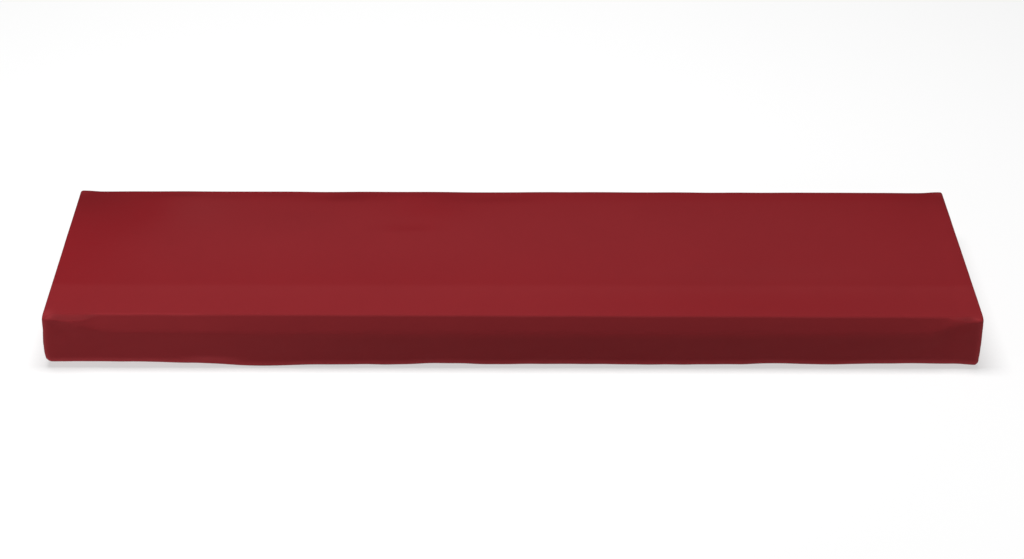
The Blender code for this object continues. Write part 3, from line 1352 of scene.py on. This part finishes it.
@dataclass(frozen=True)
class PaintedClothLight:
    """Where the cloth is painted darker or paler than its mean: painted light and shade, a painted sheen
    haze, and painted highlights where bends are drawn tight.

    A pair of numbers tells where a change starts and where it ends.
    """

    form: CoverForm = field(default_factory=CoverForm)
    # painted shade: the wall darker than the top
    wall: float = -0.08
    # painted shade on the bevels over the end blocks
    bevel_shade_left: float = -0.03
    bevel_shade_right: float = -0.08
    bevel_foot_shade: float = -0.18
    bevel_end: tuple[float, float] = (0.8, 1.2)
    bevel_run_in: tuple[float, float] = (0.006, 0.020)
    # painted light on the slope over the end blocks
    lit_wedge: float = 0.16
    foot_start: float = 0.92
    foot_start_over_block: float = 0.52
    face_start: float = 1.5
    slope_end: tuple[float, float] = (0.90, 1.05)
    # painted highlight along the front fold beside the left end block
    crest_highlight: float = 0.05
    crest_width: float = 0.0014
    crest_start: float = -0.574
    crest_end: float = -0.430
    crest_fade: float = 0.012
    crest_painted_highlight: float = 0.3
    # painted highlight down the upright corners
    upright_highlight: float = 0.05
    upright_width: float = 0.0056
    upright_start: tuple[float, float] = (0.001, 0.006)
    corner_reach: float = 0.009
    slope_stretch: float = 0.16
    mean_sheen_haze: float = 0.5
    slope_sheen_haze: float = 0.02
    # painted light on the lower edge, as lit from the floor
    lit_strip: float = 0.11
    lit_strip_highlight: float = 0.85
    strip_start: float = 0.0105
    strip_fade: float = 0.0040
    strip_sag: float = 0.0045
    strip_sag_place: float = -0.415
    strip_sag_reach: float = 0.050
    # painted shadow: a dark line along the cloth's lowest edge where it turns under
    hem_edge_shadow: float = -0.62
    hem_line_start: tuple[float, float] = (-0.0028, -0.0006)
    hem_line_end: tuple[float, float] = (0.004, 0.008)
    strip_end: tuple[float, float] = (-0.0028, -0.0008)

    def patched(self, points: Array, patches: Sequence[tuple[float, ...]]) -> Array:
        """Add up soft patches of the top or the front.

        Args:
            points: places on that side of the cloth, told by two numbers each.
            patches: rows of the centre's two numbers, both half sizes, and change.

        Returns:
            The change at each point.
        """
        total = np.zeros(len(points))
        for x, y, half_width, half_depth, change in patches:
            distance = np.hypot((points[:, 0] - x) / half_width, (points[:, 1] - y) / half_depth)
            total += change * bell(distance, 1.0)
        return total

    def on_front(self, places: Places) -> Array:
        """Which places lie on the front, its fold or the hem below it."""
        return places.y < HAIR - self.form.sizes.half_depth

    def top(self, points: Array) -> Array:
        """Change of tone of the top: painted shade, darker towards the back and in the creases."""
        depths, tones, _ = np.array(DEPTH_SHADE_AND_HAZE).T
        return np.interp(points[:, 1], depths, tones) + self.patched(points, PAINTED_SHADE_PATCHES)

    def sheen_haze(self, places: Places, points: Array) -> Array:
        """How much painted sheen haze pales the red.

        Args:
            places: places on the cloth.
            points: where they lie on the instrument.

        Returns:
            Shares from 0, the deepest red, to 1.
        """
        depths, _, changes = np.array(DEPTH_SHADE_AND_HAZE).T
        top = np.interp(points[:, 1], depths, changes) + self.patched(points, SHEEN_HAZE_PATCHES)
        across, *_, face = np.array(FRONT_LIGHT_AND_HAZE).T
        on_slope = self.on_slope(places)
        front = self.on_front(places) * np.interp(places.x, across, face) * (1 - on_slope)
        front += self.slope_sheen_haze * on_slope
        return np.clip(self.mean_sheen_haze + np.where(places.down > 0, front, top), 0.0, 1.0)

    def front(self, places: Places) -> Array:
        """Change of tone of the front, painted light and shade: the slope, the face below it and the bevels
        over the end blocks.

        Args:
            places: places on the cloth.

        Returns:
            The change at each place.
        """
        fold = self.form.fold
        across, *tones, _ = np.array(FRONT_LIGHT_AND_HAZE).T
        slope, foot, face = (np.interp(places.x, across, tone) for tone in tones)
        over_block = self.form.over_block(places.x)
        slope = slope + self.lit_wedge * over_block
        share_down = places.down / self.form.slope_height(places.x)
        foot_start = self.foot_start + (self.foot_start_over_block - self.foot_start) * over_block
        total = slope + (foot - slope) * ease(foot_start, 1.0, share_down)
        total += (face - foot) * ease(1.0, self.face_start, share_down)
        share_bevel = places.down / np.where(places.x < 0, fold.bevel_height_left, fold.bevel_height_right)
        bevel = np.where(places.x < 0, self.bevel_shade_left, self.bevel_shade_right) + self.bevel_foot_shade * share_bevel
        on_bevel = over_block * (1 - ease(*self.bevel_end, share_bevel))
        on_bevel *= ease(*self.bevel_run_in, self.form.end_distance(places.x))
        patches = self.patched(np.stack([places.x, places.down], axis=1), FRONT_LIGHT_PATCHES)
        return total * (1 - on_bevel) + bevel * on_bevel + patches

    def on_crest(self, places: Places) -> Array:
        """How far places lie on the crest beside the left end block, where a highlight is painted on the
        bend.

        Args:
            places: places on the cloth.

        Returns:
            Shares from 0 to 1.
        """
        behind = places.y + self.form.sizes.half_depth
        after_start = ease(-self.crest_fade, self.crest_fade, places.x - self.crest_start)
        before_end = ease(-self.crest_fade, self.crest_fade, self.crest_end - places.x)
        return bell(behind - self.crest_width, self.crest_width) * after_start * before_end

    def on_slope(self, places: Places) -> Array:
        """1 on the slope below the front fold."""
        on_wall = self.on_front(places) & (places.down > 0)
        return on_wall * (1 - ease(*self.slope_end, places.down / self.form.slope_height(places.x)))

    def on_upright(self, places: Places) -> Array:
        """1 down the four upright corners, where the cloth is drawn tight round the instrument's edge and a
        highlight is painted.
        """
        return self.form.corner_nearness(places, self.upright_width) * ease(*self.upright_start, places.down)

    def past_edge(self, places: Places) -> Array:
        """Way past the lower edge of the wall; less than 0 above it."""
        return places.down + places.inset - self.form.sizes.height

    def on_lit_strip(self, places: Places) -> Array:
        """How far places lie on the strip where the cloth turns in under the instrument, which gets painted
        light as from the floor.

        Args:
            places: places on the cloth.

        Returns:
            Shares from 0 to 1.
        """
        past = self.past_edge(places)
        sag = self.strip_sag * bell(places.x - self.strip_sag_place, self.strip_sag_reach)
        start = -(self.strip_start + sag)
        return ease(0.0, self.strip_fade, past - start) * (1 - ease(*self.strip_end, past))

    def painted_light_and_shade(self, places: Places, points: Array) -> Array:
        """Change of tone of the whole cloth: painted light and shade.

        Args:
            places: places on the cloth.
            points: where they lie on the instrument.

        Returns:
            Shares to add to the brightness of the colour.
        """
        wall = self.wall + np.where(self.on_front(places), self.front(places), 0.0)
        wall += self.lit_strip * self.on_lit_strip(places) + self.upright_highlight * self.on_upright(places)
        # painted shadow along the lowest edge
        below = ease(*self.hem_line_start, self.past_edge(places))
        below *= 1 - ease(*self.hem_line_end, places.inset)
        top = self.top(points) + self.crest_highlight * self.on_crest(places)
        return np.where(places.down > 0, wall + self.hem_edge_shadow * below, top)

    def stretch_and_highlight(self, places: Places, points: Array) -> Array:
        """How tight the cloth is drawn, with painted highlights: at the tips, down the upright corners and
        along the lower edge.

        Args:
            places: places on the cloth.
            points: where they lie on the instrument.

        Returns:
            Shares from 0 to 1.
        """
        tight = self.on_upright(places)
        for x, y, share in TIGHT_HIGHLIGHT_TIPS:
            tight += share * bell(np.linalg.norm(points - np.array([x, y, 0.0]), axis=1), self.corner_reach)
        tight += self.lit_strip_highlight * self.on_lit_strip(places) + self.slope_stretch * self.on_slope(places)
        tight += self.crest_painted_highlight * self.on_crest(places) * (places.down == 0)
        return np.clip(tight, 0.0, 1.0)


@dataclass
class HemSewing:
    """Twin rows of stitches that hold the rolled hem, all round the mouth."""

    cloth: bpy.types.Object
    form: CoverForm = field(default_factory=CoverForm)
    rows: tuple[float, ...] = (0.0272, 0.0302)
    pitch: float = 0.0034
    stitch_length: float = 0.0027
    thread_radius: float = 0.00024
    sides: int = 6
    rise: tuple[float, ...] = (-0.00016, 0.00010, 0.00018, 0.00010, -0.00016)
    girth: tuple[float, ...] = (0.45, 1.0, 1.05, 1.0, 0.45)
    track_points: int = 6001
    felt_from: float = 0.01

    def ring_places(self, around: Array, inset: float) -> Places:
        """Places on the hem, told by the way round it.

        Args:
            around: ways round the wall from its front left corner.
            inset: how far in under the cover they lie.

        Returns:
            The places.
        """
        size = self.form.sizes
        around = np.mod(around, size.round_trip)
        corners = [0.0, size.length, size.length + size.depth, 2 * size.length + size.depth, size.round_trip]
        xs = [-size.half_length, size.half_length, size.half_length, -size.half_length, -size.half_length]
        ys = [-size.half_depth, -size.half_depth, size.half_depth, size.half_depth, -size.half_depth]
        x = np.interp(around, corners, xs)
        y = np.interp(around, corners, ys)
        same = np.ones_like(around)
        return Places(x, y, same * size.height, same * inset, same * 0.0, around)

    def centre_lines(self, inset: float) -> Array:
        """The middle line of each stitch of a row, a few points each.

        Args:
            inset: how far in under the cover the row runs.

        Returns:
            Points by stitch, by place along the stitch.
        """
        fine = np.linspace(0.0, self.form.sizes.round_trip, self.track_points)
        track = self.form.shaped(self.ring_places(fine, inset))
        steps = np.linalg.norm(np.diff(track, axis=0), axis=1)
        run = np.concatenate([[0.0], np.cumsum(steps)])
        count = int(run[-1] / self.pitch)
        centres = (np.arange(count) + 0.5) * run[-1] / count
        spread = np.linspace(-0.5, 0.5, len(self.rise)) * self.stitch_length
        around = np.interp(centres[:, None] + spread, run, fine)
        points = self.form.shaped(self.ring_places(around.ravel(), inset))
        points[:, 2] = self.under_cloth(points) - np.tile(self.rise, count)
        return points.reshape(count, len(self.rise), 3)

    def under_cloth(self, points: Array) -> Array:
        """Heights of the cloth's outer face at points of the hem, felt for from below.

        Args:
            points: points of the hem.

        Returns:
            The height at each point.
        """
        heights = points[:, 2].copy()
        for index, (x, y, z) in enumerate(points):
            touched, place, _, _ = self.cloth.ray_cast((x, y, z - self.felt_from), (0.0, 0.0, 1.0))
            if touched:
                heights[index] = place.z
        return heights

    def add_stitch(self, thread: bmesh.types.BMesh, line: Array) -> None:
        """Add one stitch, a short length of thread with drawn-in ends.

        Args:
            thread: the mesh that gets it.
            line: points of its middle line.
        """
        along = Vector(line[-1] - line[0]).normalized()
        across = along.cross(Vector((0, 0, 1))).normalized()
        up = across.cross(along)
        loops = []
        for point, girth in zip(line, self.girth):
            radius = self.thread_radius * girth
            turns = [2 * math.pi * side / self.sides for side in range(self.sides)]
            offsets = [across * math.cos(turn) * radius + up * math.sin(turn) * radius for turn in turns]
            loops.append([thread.verts.new(Vector(point) + offset) for offset in offsets])
        for before, after in zip(loops, loops[1:]):
            for side in range(self.sides):
                following = (side + 1) % self.sides
                thread.faces.new((before[side], before[following], after[following], after[side]))
        thread.faces.new(loops[0][::-1])
        thread.faces.new(loops[-1])

    def build(self) -> bpy.types.Object:
        """Make the stitches of all rows as one piece.

        Returns:
            The stitches, in place.
        """
        thread = bmesh.new()
        for inset in self.rows:
            for line in self.centre_lines(inset):
                self.add_stitch(thread, line)
        bmesh.ops.recalc_face_normals(thread, faces=thread.faces[:])
        stitches = piece_of("hem_stitches", thread, ThreadFinish().material())
        stitches.data.shade_smooth()
        return stitches

    def dress(self, stitches: bpy.types.Object) -> None:
        """Tell the frame what the stitches ride on."""
        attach(stitches, "root")


@dataclass(frozen=True)
class SoftLight:
    """One soft box of the studio."""

    name: str
    place: tuple[float, float, float]
    aim: tuple[float, float, float]
    size: tuple[float, float]
    power: float
    colour: Colour = (1.0, 1.0, 1.0)

    def build(self) -> None:
        """Hang the light and turn it to its aim."""
        lamp = bpy.data.lights.new(self.name, "AREA")
        lamp.shape = "RECTANGLE"
        lamp.size, lamp.size_y = self.size
        lamp.energy = self.power
        lamp.color = self.colour
        light = bpy.data.objects.new(self.name, lamp)
        light.location = self.place
        light.rotation_euler = (Vector(self.aim) - Vector(self.place)).to_track_quat("-Z", "Y").to_euler()
        bpy.context.scene.collection.objects.link(light)


@dataclass(frozen=True)
class CameraStand:
    """Where the camera stands and how it is turned, as worked out from the cover's edges."""

    place: tuple[float, float, float] = (-0.0248, -2.5402, 1.6726)
    tilt_down: float = 34.066
    turn_right: float = 0.539
    roll: float = 0.403
    lens_mm: float = 74.73
    sensor_mm: float = 36.0

    def build(self) -> None:
        """Set up the scene's camera."""
        data = bpy.data.cameras.new("camera")
        data.lens = self.lens_mm
        data.sensor_width = self.sensor_mm
        camera = bpy.data.objects.new("camera", data)
        turn = Matrix.Rotation(-math.radians(self.turn_right), 4, "Z")
        tilt = Matrix.Rotation(math.radians(90 - self.tilt_down), 4, "X")
        roll = Matrix.Rotation(math.radians(self.roll), 4, "Z")
        camera.matrix_world = Matrix.Translation(self.place) @ turn @ tilt @ roll
        bpy.context.scene.collection.objects.link(camera)
        bpy.context.scene.camera = camera


@dataclass
class Studio:
    """Plain pale floor, plain soft light and the camera."""

    floor_size: float = 40.0
    floor_gap: float = 0.0005
    floor_squares: int = 8
    sky: float = 0.06
    lights: tuple[SoftLight, ...] = (
        SoftLight("overhead_soft_box", (-0.26, 0.18, 3.2), (-0.26, 0.18, 0.0), (2.2, 1.0), 121.0),
        SoftLight("left_soft_box", (-1.00, -0.95, 0.42), (-0.42, -0.10, 0.0), (0.35, 0.35), 2.1),
        SoftLight("right_soft_box", (1.10, -0.90, 0.42), (0.60, -0.10, 0.0), (0.35, 0.35), 0.8),
    )

    def floor(self, level: float) -> None:
        """Lay the floor just below a level.

        Args:
            level: height of the cover's lowest point.
        """
        sheet = bmesh.new()
        squares = self.floor_squares
        bmesh.ops.create_grid(sheet, x_segments=squares, y_segments=squares, size=self.floor_size / 2)
        floor = piece_of("floor", sheet, FloorFinish().material())
        floor.location.z = level - self.floor_gap

    def sky_light(self) -> None:
        """Fill the room with even, weak light."""
        world = bpy.data.worlds.new("studio")
        world.use_nodes = True
        background = world.node_tree.nodes["Background"]
        background.inputs["Color"].default_value = (1.0, 1.0, 1.0, 1.0)
        background.inputs["Strength"].default_value = self.sky
        bpy.context.scene.world = world

    def build(self, level: float) -> None:
        """Set up floor, lights and camera.

        Args:
            level: height of the cover's lowest point.
        """
        self.floor(level)
        self.sky_light()
        for light in self.lights:
            light.build()
        CameraStand().build()
        bpy.context.scene.view_settings.view_transform = "Standard"


def lowest(piece: bpy.types.Object) -> float:
    """Height of a piece's lowest point."""
    seen = piece.evaluated_get(bpy.context.evaluated_depsgraph_get())
    return min(vert.co.z for vert in seen.data.vertices)


def report(name: str, piece: bpy.types.Object) -> None:
    """Log what a piece is made of."""
    log.info("%s: %s, %d faces", name, piece.name, len(piece.data.polygons))


def main() -> None:
    """Build the cover, its sewing and the studio."""
    logging.basicConfig(level=logging.INFO, format="%(name)s %(message)s")
    cover = CoverCloth()
    cloth = cover.build()
    cover.dress(cloth)
    report("cloth", cloth)
    bpy.context.view_layer.update()
    sewing = HemSewing(cloth)
    stitches = sewing.build()
    sewing.dress(stitches)
    report("sewing", stitches)
    Studio().build(lowest(cloth))


if __name__ == "__main__":
    main()
